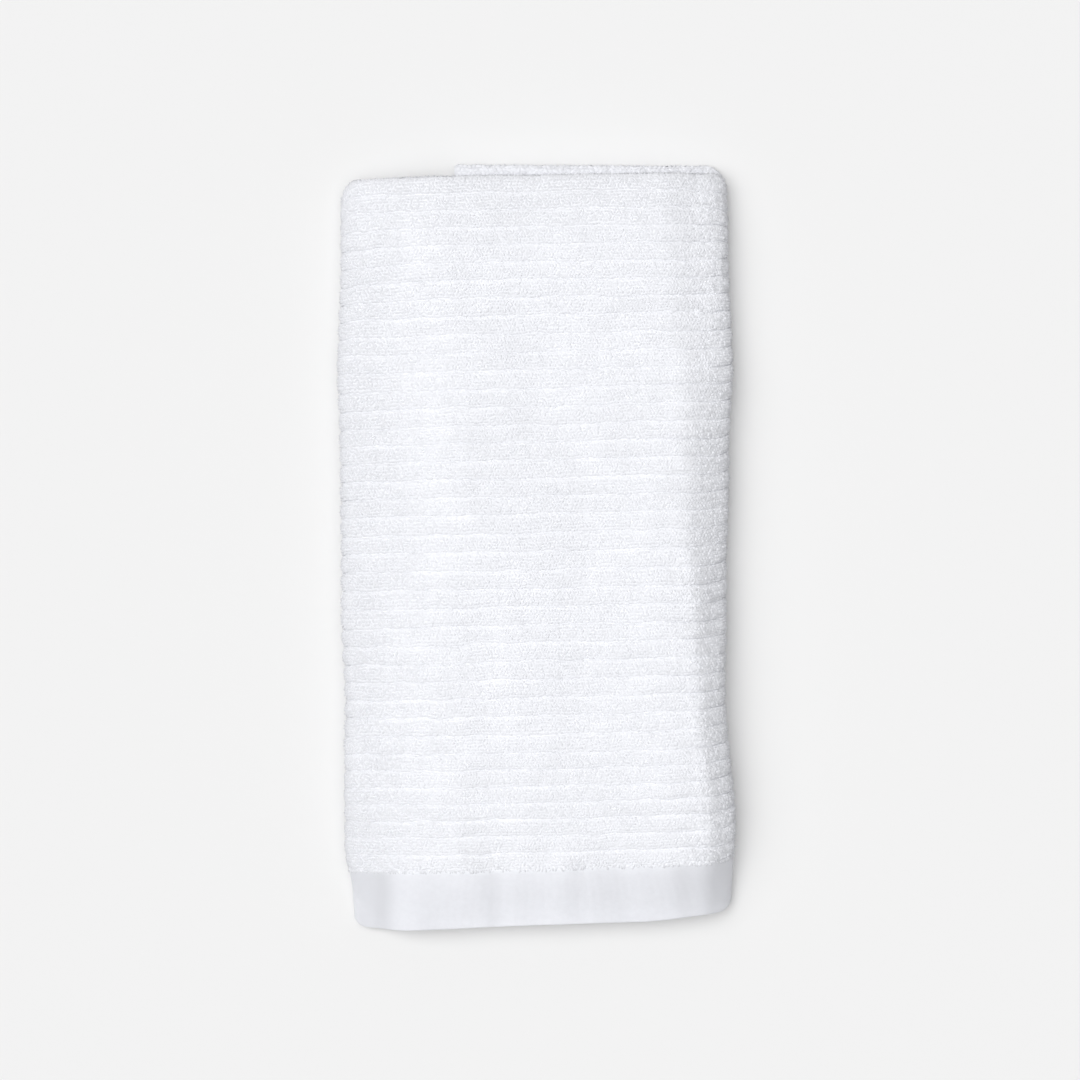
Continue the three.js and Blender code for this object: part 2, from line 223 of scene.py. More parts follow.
def section(along):
    """The cloth's middle in the slab's section: y, level, the face side's normal (ny, nz), and the
    level at which its free side edges are measured. Straight layers joined by half circles."""
    half, recess = cloth_thickness(along)
    low_turn = np.pi / 2 - (along - BOTTOM_FOLD_AT) / BOTTOM_RADIUS
    high_turn = (along - TOP_FOLD_AT) / TOP_RADIUS - np.pi / 2
    parts = [along < BOTTOM_FOLD_AT, along < BACK_AT, along < TOP_FOLD_AT, along < FACE_AT]

    def choose(tucked, bottom_fold, back, top_fold, face):
        return np.select(parts, [tucked, bottom_fold, back, top_fold], face)

    y = choose(
        BOTTOM_CENTRE + BOTTOM_FOLD_AT - along,
        BOTTOM_CENTRE - BOTTOM_RADIUS * np.cos(low_turn),
        BOTTOM_CENTRE + along - BACK_AT,
        TOP_CENTRE + TOP_RADIUS * np.cos(high_turn),
        CLOTH_LENGTH - along,
    )
    level = choose(
        TUCKED_LEVEL,
        BOTTOM_FOLD_LEVEL + BOTTOM_RADIUS * np.sin(low_turn),
        BACK_LEVEL,
        TOP_FOLD_LEVEL + TOP_RADIUS * np.sin(high_turn),
        slab_thickness(y) - recess - half,
    )
    ny = choose(0, -np.cos(low_turn), 0, np.cos(high_turn), 0)
    nz = choose(1, np.sin(low_turn), -1, np.sin(high_turn), 1)
    near_bottom = (along < TOP_FOLD_AT) * (1 - smooth(0, EDGES_PART, y - BOTTOM_CENTRE))
    near_top = (along > BACK_AT) * (1 - smooth(0, EDGES_PART, TOP_CENTRE - y))
    edge = level + near_bottom * (BOTTOM_FOLD_LEVEL - level) + near_top * (TOP_FOLD_LEVEL - level)
    return y, level, ny, nz, edge


# ---- the side folds, and how the folded towel lies ----


def side_folds(y):
    """The side folds' centres and inner radii at y: the right one wraps the turned left flap."""
    slab = slab_thickness(y)
    right_radius = (slab + 2 * SLAB_GAP) / 2
    left_radius = SLAB_GAP / 2
    return {
        "slab": slab,
        "left_radius": left_radius,
        "right_radius": right_radius,
        "left_z": 2 * slab + 1.5 * SLAB_GAP,
        "right_z": (3 * slab + 2 * SLAB_GAP) / 2,
        "left_x": eased(LEFT_OUTLINE, y) + slab + left_radius,
        "right_x": eased(RIGHT_OUTLINE, y) - slab - right_radius,
    }


def right_flap_end(fold, level):
    """x of the right flap's free edge: the turn's length, less the half circle of that level."""
    return fold["right_x"] - RIGHT_TURN + np.pi * (fold["right_radius"] + level)


def left_flap_end(fold, level):
    """x of the left flap's free edge, in the same way."""
    return fold["left_x"] + LEFT_TURN - np.pi * (fold["left_radius"] + level)


def carry_round(across, level, edge, fold):
    """(x, z) of the stiff stack: flaps and front are straight, and the folds are half circles."""
    share = across - np.clip(np.floor(across), 0, 4)
    left_arc, right_arc = fold["left_radius"] + level, fold["right_radius"] + level
    left_end, right_end = left_flap_end(fold, edge), right_flap_end(fold, edge)
    left_x, right_x = fold["left_x"], fold["right_x"]
    left_z, right_z = fold["left_z"], fold["right_z"]
    turn = np.pi * (share - 0.5)
    parts = [across < 1, across < 2, across < 3, across < 4]
    x = np.select(parts, [
        left_end + share * (left_x - left_end),
        left_x - left_arc * np.cos(turn),
        left_x + share * (right_x - left_x),
        right_x + right_arc * np.cos(turn),
    ], right_x + share * (right_end - right_x))
    z = np.select(parts, [
        left_z - left_arc,
        left_z + left_arc * np.sin(turn),
        left_z + left_arc,
        right_z - right_arc * np.sin(turn),
    ], right_z - right_arc)
    return x, z


def crease(x, y, x0, y0, x1, y1, half_width, depth):
    """A raised cosine across the line from (x0, y0) to (x1, y1), eased out past its ends."""
    run_x, run_y = x1 - x0, y1 - y0
    length = np.hypot(run_x, run_y)
    along = ((x - x0) * run_x + (y - y0) * run_y) / length
    across = np.abs((x - x0) * run_y - (y - y0) * run_x) / length
    past = np.maximum(0, np.maximum(-along, along - length)) / (CREASE_END * half_width)
    distance = np.minimum(1, np.hypot(across / half_width, past))
    return depth * 0.5 * (1 + np.cos(np.pi * distance))


def droop(edge, distance):
    """The share of the height lost near that edge: its loss times (1 - distance/reach)**2."""
    loss, reach = DROOPS[edge]
    return loss * np.clip(1 - distance / reach, 0, 1) ** 2


def settle(x, y, from_left, from_right):
    """The towel's height as a share of a stiff stack's: it slopes to its edges, and is creased."""
    right_slope = 1 - smooth(RIGHT_FOOT, eased(RIGHT_REACH, y), from_right)
    share = 1 - eased(RIGHT_SLOPE, y) * right_slope
    share -= droop("left", from_left)
    share -= droop("top", FOLDED_LENGTH - y)
    share -= droop("bottom", y)
    share -= (1 - smooth(*BAND_FADE, y)) * droop("band right", from_right)
    share -= BAND_DROP * (1 - smooth(*BAND_TURN, from_left)) * np.clip(1 - y / BAND_LENGTH, 0, 1)
    for one in CREASES:
        share += crease(x, y, *one)
    return np.maximum(share, LEAST_SHARE)


def corner_draw(radius, from_side):
    """How far a rounded corner draws the end back: the circle's depth at that distance."""
    inside = np.clip(radius - from_side, 0, radius)
    return radius - np.sqrt(radius * radius - inside * inside)


def lay(x, y, z, fold):
    """Where a point of the stiff stack comes to lie: the left side sinks past the bottom flap, the
    height settles, the corners round and the lower end turns."""
    level = fold["slab"] - TERRY / 2
    near = 1 - smooth(0, EDGES_PART, TOP_CENTRE - y)
    flap_edge = right_flap_end(fold, level + near * (TOP_FOLD_LEVEL - level))
    sunk = (fold["slab"] + SLAB_GAP) * smooth(*SAG, flap_edge - x)
    from_left, from_right = x - eased(LEFT_OUTLINE, y), eased(RIGHT_OUTLINE, y) - x
    near_top = smooth(FOLDED_LENGTH - CORNER_REACH["top"], FOLDED_LENGTH, y)
    near_bottom = 1 - smooth(0, CORNER_REACH["bottom"], y)
    top, bottom = (
        corner_draw(left, from_left) + corner_draw(right, from_right)
        for left, right in CORNERS.values()
    )
    up = y / FOLDED_LENGTH
    turned = x * (BOTTOM_SLOPE * (1 - up) + TOP_SLOPE * up)
    drawn = eased(BAND_EDGE, x) * (1 - smooth(0, BAND_LENGTH, y))
    y_laid = y + turned + drawn + near_bottom * bottom - near_top * top
    z_laid = settle(x, y, from_left, from_right) * (z - sunk)
    return np.stack([x, y_laid, z_laid], axis=-1)


def place_cloth(along, across, offset):
    """The point at (along, across), that far from the cloth's middle towards its face side."""
    y, level, ny, nz, edge = section(along)
    y = y + offset * ny
    fold = side_folds(y)
    x, z = carry_round(across, level + offset * nz, edge, fold)
    shift = smooth(3, 4, across)
    y_shifted = y + shift * (FLAP_SHIFT + FLAP_TURN * np.maximum(0, fold["right_x"] - x))
    return lay(x, y_shifted, z, fold)


# ---- the cloth's grid ----

RIB_SEED = 7
RIB_SPREAD = 0.04  # the ribs differ in width by up to this share
NARROW_RIBS = 7  # the ribs next to the band are woven closer
NARROW = 0.92
HIDDEN_RIBS = 3  # woven on before the top fold, out of sight
RIB_ROWS = np.array([0.0, 0.1, 0.22, 0.45, 0.72, 0.9])  # grid lines within a rib
LAST_GROOVE = 0.3  # the share of a groove's depth where the terry meets the band

# Grid lines where there are no ribs: how many, and how far from a stretch's ends.
TUCKED_LINES, FOLD_LINES, BACK_LINES, BAND_LINES = 8, 9, 12, 13
TUCKED_BAND = [0, 2, BAND_LENGTH - 1, BAND_LENGTH + 1]
TUCKED_FROM, CLEAR_OF_FOLD, CLEAR_OF_RIBS = 70, 20, 12
BAND_BETWEEN = (39, 4)
HEM_LINES = [2.2, 1.1, 0.6, 0.25, 0.05]
COLUMN_STEPS = (28, 14, 60, 16, 28)  # over the left flap, its fold, the front, and so on

FACE_BEGINS = (TOP_FOLD_AT - 24, TOP_FOLD_AT - 12)  # the ribs and the pile begin here
HIDDEN_PAST = 3.5  # places further across can't be seen from above

# Grooves open where the cloth bends at the sides, and close round the top fold.
OPENED = 0.9  # by up to this share, from place to place across
OPENED_LEFT, OPENED_LEFT_ENDS, OPENED_RIGHT = (0.9, 1.2), (2.0, 1.7), (2.8, 3.1)
GROOVE_MEAN = 0.92
TOP_GROOVES = 0.4  # the share of their depth round the top fold
WHOLE_GROOVES = (FACE_AT - 10, FACE_AT + 40)

# How the pile looks at the sides, with its painted shade and painted highlights: places across,
# reaches in millimetres, and amounts.
SIDE_REACH = 34
PARTED_LEFT, PARTED_LEFT_BY = (2.3, 1.5), 0.5
PARTED_RIGHT, PARTED_RIGHT_BY = 2.94, 0.25
# Where the curls' painted highlights and shade begin, and where painted shade dulls the tips at
# the left and the top.
PAINTED_CURLS_AT = 2.89
PAINTED_SHADE_LEFT = (2.24, 1.7)
PAINTED_SHADE_TOP = (FACE_AT - 5, FACE_AT + 60)


def rib_lines(pitch):
    """The grooves between the ribs, from before the top fold to the band. The ribs differ a little
    in width, and the last ones before the band are narrower."""
    count = int((BAND_AT - TOP_FOLD_AT) / pitch) + HIDDEN_RIBS
    widths = pitch * (1 + RIB_SPREAD * np.random.default_rng(RIB_SEED).uniform(-1, 1, count))
    widths[:NARROW_RIBS] *= NARROW
    return BAND_AT - np.concatenate([[0], np.cumsum(widths)])[::-1]


def rib_height(share):
    """A rib's rounded height, 0 in its grooves and 1 between: 1 - |2*u - 1|**3, where u is the
    share of the way from the upper groove to the lower one."""
    return 1 - np.abs(2 * share - 1) ** 3


def cloth_rows(lines):
    """The grid's lines along the cloth, and the share of a groove's depth at each. They lie far
    apart on the hidden layers, and at RIB_ROWS within each rib."""
    hidden = np.concatenate([
        TUCKED_BAND,
        np.linspace(TUCKED_FROM, BOTTOM_FOLD_AT - CLEAR_OF_FOLD, TUCKED_LINES),
        BOTTOM_FOLD_AT + np.pi * BOTTOM_RADIUS * np.linspace(0, 1, FOLD_LINES),
        np.linspace(BACK_AT + CLEAR_OF_FOLD, lines[0] - CLEAR_OF_RIBS, BACK_LINES),
    ])
    widths = np.diff(lines)
    ribs = (lines[:-1, None] + widths[:, None] * RIB_ROWS).ravel()
    groove = np.tile(1 - rib_height(RIB_ROWS), len(widths))
    band = CLOTH_LENGTH - np.concatenate([
        [BAND_LENGTH - TERRY_STEP], np.linspace(*BAND_BETWEEN, BAND_LINES), HEM_LINES,
    ])
    rows = np.concatenate([hidden, ribs, [lines[-1] - TERRY_STEP], band])
    depth = np.concatenate([np.zeros(len(hidden)), groove, [LAST_GROOVE], np.zeros(len(band))])
    return rows, depth


def cloth_columns():
    """The grid's lines across the cloth, closer together round the folds and over the front."""
    stretches = [k + np.linspace(0, 1, n + 1)[:-1] for k, n in enumerate(COLUMN_STEPS)]
    return np.concatenate([*stretches, [len(COLUMN_STEPS)]])


def width_at(across):
    """Millimetres of cloth from the left flap's free edge to that place across the face layer."""
    level = FULL_SLAB - TERRY / 2
    left_arc = np.pi * (SLAB_GAP / 2 + level)
    right_arc = np.pi * (FULL_SLAB / 2 + SLAB_GAP + level)
    stretches = [LEFT_TURN - left_arc, left_arc, FRONT_WIDTH, right_arc, RIGHT_TURN - right_arc]
    stops = np.cumsum([0, *stretches])
    return np.interp(across, np.arange(len(stops)), stops)


def on_face(along):
    """1 on the terry that shows: the top fold and the face layer up to the band. 0 elsewhere."""
    return smooth(*FACE_BEGINS, along) * (along < BAND_AT)


def parted(width):
    """How far the pile parts, which raises its loops and sets their painted shade: 0 over the
    front, and more where the cloth bends round a side.
    """
    left = PARTED_LEFT_BY * smooth(*width_at(PARTED_LEFT), width)
    start = width_at(PARTED_RIGHT)
    return left + PARTED_RIGHT_BY * smooth(start, start + SIDE_REACH, width)


def painted_curls_side(along, width):
    """Where the curls get painted highlights and painted shade: 0 over the front, rising to 1 down
    the slope at the right side, along an uneven line.
    """
    start = width_at(PAINTED_CURLS_AT) + soft_noise(PAINTED_CURLS_UNEVEN, width, along)
    return smooth(start, start + SIDE_REACH, width)


def painted_edge_shade(along, width):
    """How much painted shade the pile's tips get at the left and towards the top."""
    top = (1 - smooth(*PAINTED_SHADE_TOP, along)) * (width < width_at(HIDDEN_PAST))
    return np.maximum(smooth(*width_at(PAINTED_SHADE_LEFT), width), top)


def groove_depth(over_front, across, rows, columns):
    """The grooves' depth, from their depth over the front: more at the bent sides, uneven by a
    noise, and less round the top fold."""
    left = OPENED * smooth(*OPENED_LEFT_ENDS, across) * smooth(*OPENED_LEFT, across)
    opened = 1 + left + OPENED * smooth(*OPENED_RIGHT, across)
    uneven = GROOVE_MEAN + soft_noise(GROOVES_UNEVEN, columns, rows)
    top = TOP_GROOVES * (across < HIDDEN_PAST) + (1 - TOP_GROOVES) * smooth(*WHOLE_GROOVES, rows)
    return over_front * opened * uneven * top


def cloth_surfaces(terry):
    """The cloth's two sides as grids of points, with its grid lines. The face side is sunk by the
    pile's height and the grooves, and the loops stand on it."""
    lines = rib_lines(terry.rib_pitch / METRES)
    along, groove = cloth_rows(lines)
    across = cloth_columns()
    width = width_at(across)
    rows, columns = np.meshgrid(along, width, indexing="ij")
    places = across + 0 * rows
    face = on_face(rows)
    grooves = groove_depth(terry.rib_depth / METRES * groove[:, None], across, rows, columns)
    sunk = face * (terry.pile_height / METRES + grooves)
    lumps = face * soft_noise(TERRY_LUMPS, columns, rows)
    wandered = rows + face * soft_noise(GROOVE_WANDER, columns, rows)
    half, _ = cloth_thickness(rows)
    from_end = np.minimum(rows, CLOTH_LENGTH - rows)
    hem = np.sqrt(np.clip(1 - (1 - from_end / HEM_ROUND) ** 2, 0, 1))
    hemmed = half * np.where(from_end < HEM_ROUND, hem, 1)
    face_side = place_cloth(wandered, places, hemmed - sunk + lumps)
    back_side = place_cloth(wandered, places, -hemmed)
    plain = place_cloth(rows, places, half).reshape(-1, 3)
    low, high = plain.min(0), plain.max(0)
    middle = np.array([(low[0] + high[0]) / 2, (low[1] + high[1]) / 2, low[2]])
    for side in (face_side, back_side):
        side -= middle
        np.maximum(side[..., 2], 0, out=side[..., 2])
    return {
        "along": along, "width": width, "lines": lines, "rows": rows, "columns": columns,
        "face": face_side, "back": back_side,
    }


# ---- meshes ----

# Places and sizes in the map's unit square: each side, the rims' strips and a loop's foot.
MAP_BACK, MAP_WIDTH, MAP_LENGTH = 0.49, 0.48, 0.99
MAP_RIMS, MAP_RIM, MAP_RIM_BREADTH = 0.975, 0.006, 0.004
MAP_LOOP = 0.0004
SHORTEST = 1e-9  # keeps a division from failing


def new_mesh(name, points, faces, uv, light, material_index=None):
    """A mesh object at the origin from arrays: points in millimetres, faces of equal length, the
    flat cloth's map, and for each point its lightness, mostly painted light and painted shade,
    from 0 down in the pile to 1."""
    mesh = bpy.data.meshes.new(name)
    mesh.vertices.add(len(points))
    mesh.vertices.foreach_set("co", (points * METRES).astype(np.float32).ravel())
    mesh.loops.add(faces.size)
    mesh.loops.foreach_set("vertex_index", faces.astype(np.int32).ravel())
    mesh.polygons.add(len(faces))
    starts = np.arange(0, faces.size, faces.shape[1], dtype=np.int32)
    mesh.polygons.foreach_set("loop_start", starts)
    mesh.polygons.foreach_set("use_smooth", np.ones(len(faces), bool))
    if material_index is not None:
        mesh.polygons.foreach_set("material_index", material_index.astype(np.int32))
    layer = mesh.uv_layers.new(name="OFBake")
    layer.data.foreach_set("uv", uv.astype(np.float32).ravel())
    lightness = mesh.attributes.new("lightness", "FLOAT", "POINT")
    lightness.data.foreach_set("value", light.astype(np.float32))
    mesh.update(calc_edges=True)
    if mesh.validate():
        raise RuntimeError(f"{name}: the mesh had faulty faces")
    piece = bpy.data.objects.new(name, mesh)
    bpy.context.scene.collection.objects.link(piece)
    return piece


def cloth_uv(along, width, side):
    """The flat cloth laid out twice in the unit square: the face side, and beside it the back."""
    across = MAP_BACK * side + MAP_WIDTH * width / CLOTH_WIDTH
    return np.stack([across, MAP_LENGTH * along / CLOTH_LENGTH], -1)


def cloth_mesh(surfaces):
    """The closed cloth: both sides' grids, joined by strips along the four edges. Also which of
    its faces belong to the bands."""
    rows, columns = surfaces["face"].shape[:2]
    points = np.concatenate([surfaces["face"].reshape(-1, 3), surfaces["back"].reshape(-1, 3)])
    count = rows * columns  # a point of the back side has this much added to its number
    number = np.arange(count).reshape(rows, columns)
    a, b, c, d = number[:-1, :-1], number[:-1, 1:], number[1:, 1:], number[1:, :-1]
    front_faces = np.stack([a, d, c, b], -1).reshape(-1, 4)
    back_faces = np.stack([a, b, c, d], -1).reshape(-1, 4) + count
    edges = [
        (number[:-1, 0], number[1:, 0]), (number[1:, -1], number[:-1, -1]),
        (number[0, 1:], number[0, :-1]), (number[-1, :-1], number[-1, 1:]),
    ]
    rims = [np.stack([a, a + count, b + count, b], -1) for a, b in edges]
    faces = np.concatenate([front_faces, back_faces, *rims])
    along, width = surfaces["rows"], surfaces["columns"]
    flat = np.concatenate([cloth_uv(along, width, 0), cloth_uv(along, width, 1)]).reshape(-1, 2)
    uv = flat[faces]
    # The rims have narrow strips of their own beside the two sides. The first two run along.
    first = 2 * len(front_faces)
    place = np.concatenate([np.full(len(rim), k) for k, rim in enumerate(rims)])[:, None]
    run = np.where(place < 2, uv[first:, :, 1], uv[first:, :, 0] % MAP_BACK)
    strip = MAP_RIMS + MAP_RIM * place + MAP_RIM_BREADTH * (faces[first:] >= count)
    uv[first:] = np.stack([strip, run], -1)
    centre = along.ravel()[faces % count].mean(1)
    plain = np.minimum(centre, CLOTH_LENGTH - centre) < BAND_LENGTH
    return points, faces, uv.reshape(-1, 2), plain


def surface_normals(grid):
    """Unit normals of a grid of points, and its unit tangents across and along."""
    along, across = np.gradient(grid, axis=(0, 1))
    vectors = (np.cross(along, across), across, along)
    return [v / np.maximum(np.linalg.norm(v, axis=-1, keepdims=True), SHORTEST) for v in vectors]


def sample(grid, row, column):
    """The grid's values at fractional rows and columns, by linear steps both ways."""
    i = np.clip(row.astype(int), 0, grid.shape[0] - 2)
    j = np.clip(column.astype(int), 0, grid.shape[1] - 2)
    s, t = (row - i)[:, None], (column - j)[:, None]
    low = grid[i, j] * (1 - t) + grid[i, j + 1] * t
    high = grid[i + 1, j] * (1 - t) + grid[i + 1, j + 1] * t
    return low * (1 - s) + high * s


# ---- the pile's loops ----

# A loop is a soft dome over the cloth, with points round its foot and one on its crown.
SIDES = 6
CORNER = np.arange(SIDES)
RING = 2 * np.pi * CORNER / SIDES
RING_ALONG = np.append(np.cos(RING), 0.0)
RING_ASIDE = np.append(np.sin(RING), 0.0)
CROWN = np.append(np.zeros(SIDES), 1.0)
LOOP_FACES = np.stack([CORNER, (CORNER + 1) % SIDES, np.full(SIDES, SIDES)], -1)
FOOT_DEPTH = 0.06  # the foot of a loop lies this far down in the cloth

# Painted light and painted shade on the yarn: 1 is its own colour and 0 the colour of the darkest
# painted shade.
GROUND_SHADE = 0.8  # painted shade, taken off the cloth between the loops, where the pile is parted
LOOP_SHADE = GROUND_SHADE * (1 - CROWN)  # and painted shade taken off a loop's foot
CLOSED_PILE = 0.35  # the share of that painted shade that shows where the pile is closed
PILE_LIGHT = 0.79  # the tips' lightness over the front
CREST = (0.3, 0.1)  # the crest of a rib: its upper part, where a painted highlight stands for the light it catches
CREST_PAINTED_HIGHLIGHT, CREST_HIGHLIGHT_MEAN = 0.4, 0.55  # painted highlight added there, times this share and a noise
TIPS_VARY = 0.3  # taken off by chance, up to this
# painted shade taken off the tips at the left and towards the top
PAINTED_SHADE_BY = 0.3
UNDER_PAINTED_LIGHT = 0.4  # painted light added underneath
RIGHT_CURLS_PAINTED, PAINTED_CURLS_VARY = 0.7, (-0.7, 1)  # painted highlights and shade: how much the curls at the right side differ
# The band's own duller tone, and painted shade where its two ends turn down.
BAND_SHADE = 0.16
BAND_LEFT, BAND_LEFT_SHADE = (2.1, 2.04), 0.7
BAND_RIGHT, BAND_RIGHT_REACH, BAND_RIGHT_SHADE = 2.86, 20, 0.45

# Lowest and highest values drawn for each loop: shares of the terry's length, breadth and
# height, the turn and the lean.
PILE_SPREADS = [(0.75, 1.25), (0.8, 1.2), (0.5, 1.3), (-0.5, 0.5), (-0.4, 0.4)]
FRINGE_SPREADS = [(0.8, 1.4), (0.7, 1.1), (0.6, 1.5), (-0.7, 0.7), (-0.5, 0.5)]
LOOSE_HEIGHT = 0.6  # loops stand higher by up to this share where the pile is parted
GROOVE_AT, GROOVE_TURN = 0.4, 0.25  # so far from a rib's middle loops turn by this share

# The pile's pieces, in millimetres.
PILE_PIECES = 3
PILE_SEED, UNDER_SEED, FRINGE_SEED = 40, 50, 60
PILE_ROWS, UNDER_ROWS = 6, 5  # rows of loops within a rib
UNDER_SCALE = 1.4  # the loops underneath are this much larger
JITTER = 0.4  # how far a loop lies out of its place
PAST_FOLDS, PAST_TOP = 4, 8  # the pile that shows goes this far past the side and top folds
UNDER_REACH, FREE_EDGE = 95, 1  # underneath it reaches so far in, and so near the free edge
FRINGE_PITCH, FRINGE_ASIDE, FRINGE_DOWN = 1.3, (-0.5, 0.5), (-1.4, 0.9)
# FRINGE_SHADE is the share of the painted shade at the fringe loops' feet.
FRINGE_LIGHT, FRINGE_SHADE = (-0.4, 1.0), 0.5


def loops(surfaces, along, width, length, breadth, height, turn, lean):
    """Domes on the cloth's face side: points and faces. Each has its length, breadth and height,
    is turned on the surface by its angle, and has its crown that far off its middle."""
    row = np.interp(along, surfaces["along"], np.arange(len(surfaces["along"])))
    column = np.interp(width, surfaces["width"], np.arange(len(surfaces["width"])))
    place = sample(surfaces["face"], row, column)
    normal, across, down = (sample(v, row, column) for v in surfaces["frames"])
    turn = turn[:, None]
    ahead = across * np.cos(turn) + down * np.sin(turn)
    aside = np.cross(normal, ahead)
    out = length[:, None] / 2 * RING_ALONG + CROWN * lean[:, None]
    over = breadth[:, None] / 2 * RING_ASIDE
    up = height[:, None] * CROWN - FOOT_DEPTH * (1 - CROWN)
    corners = (
        place[:, None] + out[..., None] * ahead[:, None] + over[..., None] * aside[:, None]
        + up[..., None] * normal[:, None]
    )
    np.maximum(corners[..., 2], 0, out=corners[..., 2])
    faces = LOOP_FACES + len(CROWN) * np.arange(len(along))[:, None, None]
    return corners.reshape(-1, 3), faces.reshape(-1, 3)


def painted_pile_shade(width):
    """The share of the painted shade down in the pile that shows: more where the pile is parted.
    """
    return CLOSED_PILE + (1 - CLOSED_PILE) * parted(width)


def band_tone_and_painted_shade(width):
    """How much duller the band is painted: its own duller tone, painted sheen streaks, and painted
    shade where its two ends turn down.
    """
    streaks = BAND_SHADE + soft_noise(BAND_PAINTED_STREAKS, width, 0 * width)
    left = BAND_LEFT_SHADE * smooth(*width_at(BAND_LEFT), width)
    start = width_at(BAND_RIGHT)
    return streaks + left + BAND_RIGHT_SHADE * smooth(start, start + BAND_RIGHT_REACH, width)


def tip_lightness(random, along, width, share):
    """How light each loop's tip is painted: a painted highlight on the ribs' crests where a noise
    lets it show, painted shade at the left and towards the top, and by chance, the more so at the
    right side, where this paints highlights and shade on the curls; and painted light on the pile
    underneath."""
    fading = CREST_HIGHLIGHT_MEAN + soft_noise(CREST_HIGHLIGHTS_UNEVEN, width, along)
    crest = smooth(*CREST, share) * np.clip(fading, 0, 1)
    light = PILE_LIGHT + CREST_PAINTED_HIGHLIGHT * crest - TIPS_VARY * random.uniform(0, 1, len(along))
    light -= PAINTED_SHADE_BY * painted_edge_shade(along, width)
    curls = RIGHT_CURLS_PAINTED * painted_curls_side(along, width)
    light += curls * random.uniform(*PAINTED_CURLS_VARY, len(along))
    return light + UNDER_PAINTED_LIGHT * (width > width_at(4))


def loop_uv(along, width):
    """Every corner of a loop's faces close to its own place on the flat cloth."""
    centre = cloth_uv(along, width, 0)
    spread = np.stack([RING_ALONG, RING_ASIDE], -1) * MAP_LOOP
    return (centre[:, None, :] + spread)[:, LOOP_FACES].reshape(-1, 2)


def loop_places(random, lines, ribs, rows, pitch, spans):
    """Places of the loops: rows at equal steps within each rib, and loops at the pitch along each
    row within the spans across, every second row half a step on, all a little out of place."""
    steps = (np.arange(rows) + 0.5) / rows
    along_rows = (lines[ribs][:, None] + np.diff(lines)[ribs][:, None] * steps).ravel()
    across = np.concatenate([np.arange(low + pitch / 2, high, pitch) for low, high in spans])
    along, width = np.meshgrid(along_rows, across, indexing="ij")
    width = width + pitch / 2 * (np.arange(len(along_rows)) % 2)[:, None]
    share = np.repeat(np.tile(steps, len(ribs)), len(across))
    along = along.ravel() + JITTER * random.uniform(-1, 1, along.size)
    width = width.ravel() + JITTER * random.uniform(-1, 1, width.size)
    return along, width, share


def loop_sizes(random, terry, spreads, count, scale=1, raised=1):
    """The loops' length, breadth, height, turn and lean, drawn within the spreads."""
    length, breadth, height, turn, lean = (random.uniform(*spread, count) for spread in spreads)
    return {
        "length": scale * terry.loop_length / METRES * length,
        "breadth": scale * terry.loop_breadth / METRES * breadth,
        "height": terry.pile_height / METRES * raised * height,
        "turn": turn, "lean": lean,
    }


def loop_piece(name, surfaces, along, width, light, shade, sizes):
    """One piece of the pile: its loops as one mesh, painted lighter at their tips than at their
    feet, where painted shade lies.
    """
    points, faces = loops(surfaces, along, width, **sizes)
    lights = (light[:, None] - shade[:, None] * LOOP_SHADE).ravel()
    piece = new_mesh(name, points, faces, loop_uv(along, width), lights)
    piece.data.materials.append(bpy.data.materials["terry_pile"])
    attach(piece, BODY)
    return piece


def fringe(surfaces, terry):
    """The terry's last row: long uneven loops that hang over the band's inner edge."""
    random = np.random.default_rng(FRINGE_SEED)
    left_fold, right_flap = width_at((1, 4))
    width = np.arange(left_fold - PAST_FOLDS, right_flap + PAST_FOLDS, FRINGE_PITCH)
    n = len(width)
    width = width + random.uniform(*FRINGE_ASIDE, n)
    along = BAND_AT + random.uniform(*FRINGE_DOWN, n)
    sizes = loop_sizes(random, terry, FRINGE_SPREADS, n)
    sizes["turn"] += np.pi / 2
    light = random.uniform(*FRINGE_LIGHT, n)
    shade = np.full(n, FRINGE_SHADE)
    return loop_piece("terry_fringe", surfaces, along, width, light, shade, sizes)


def pile_piece(surfaces, terry, name, seed, ribs, rows, scale, spans):
    """The loops over some of the ribs, within the spans across."""
    random = np.random.default_rng(seed)
    pitch = scale * (terry.loop_pitch / METRES)
    along, width, share = loop_places(random, surfaces["lines"], ribs, rows, pitch, spans)
    light = tip_lightness(random, along, width, share)
    raised = 1 + LOOSE_HEIGHT * parted(width)
    sizes = loop_sizes(random, terry, PILE_SPREADS, len(along), scale, raised)
    sizes["turn"] *= np.where(np.abs(share - 0.5) > GROOVE_AT, GROOVE_TURN, 1)
    sizes["turn"] *= np.pi
    return loop_piece(name, surfaces, along, width, light, painted_pile_shade(width), sizes)


def pile_batches(lines):
    """What pile_piece() takes for each piece: the pile that shows, in a few lengths, and the
    coarser pile underneath, on either side of it."""
    left_fold, right_flap = width_at((1, 4))
    left, right = left_fold - PAST_FOLDS, right_flap + PAST_FOLDS
    top, count = np.searchsorted(lines, TOP_FOLD_AT - PAST_TOP) - 1, len(lines) - 1
    cuts = np.linspace(top, count, PILE_PIECES + 1).round().astype(int)
    for k in range(PILE_PIECES):
        ribs = np.arange(cuts[k], cuts[k + 1])
        yield f"terry_pile_{k + 1}", PILE_SEED + k, ribs, PILE_ROWS, 1, [(left, right)]
    under = [(left_fold - UNDER_REACH, left), (right, CLOTH_WIDTH - FREE_EDGE)]
    yield "terry_pile_under", UNDER_SEED, np.arange(top, count), UNDER_ROWS, UNDER_SCALE, under


# ---- materials ----

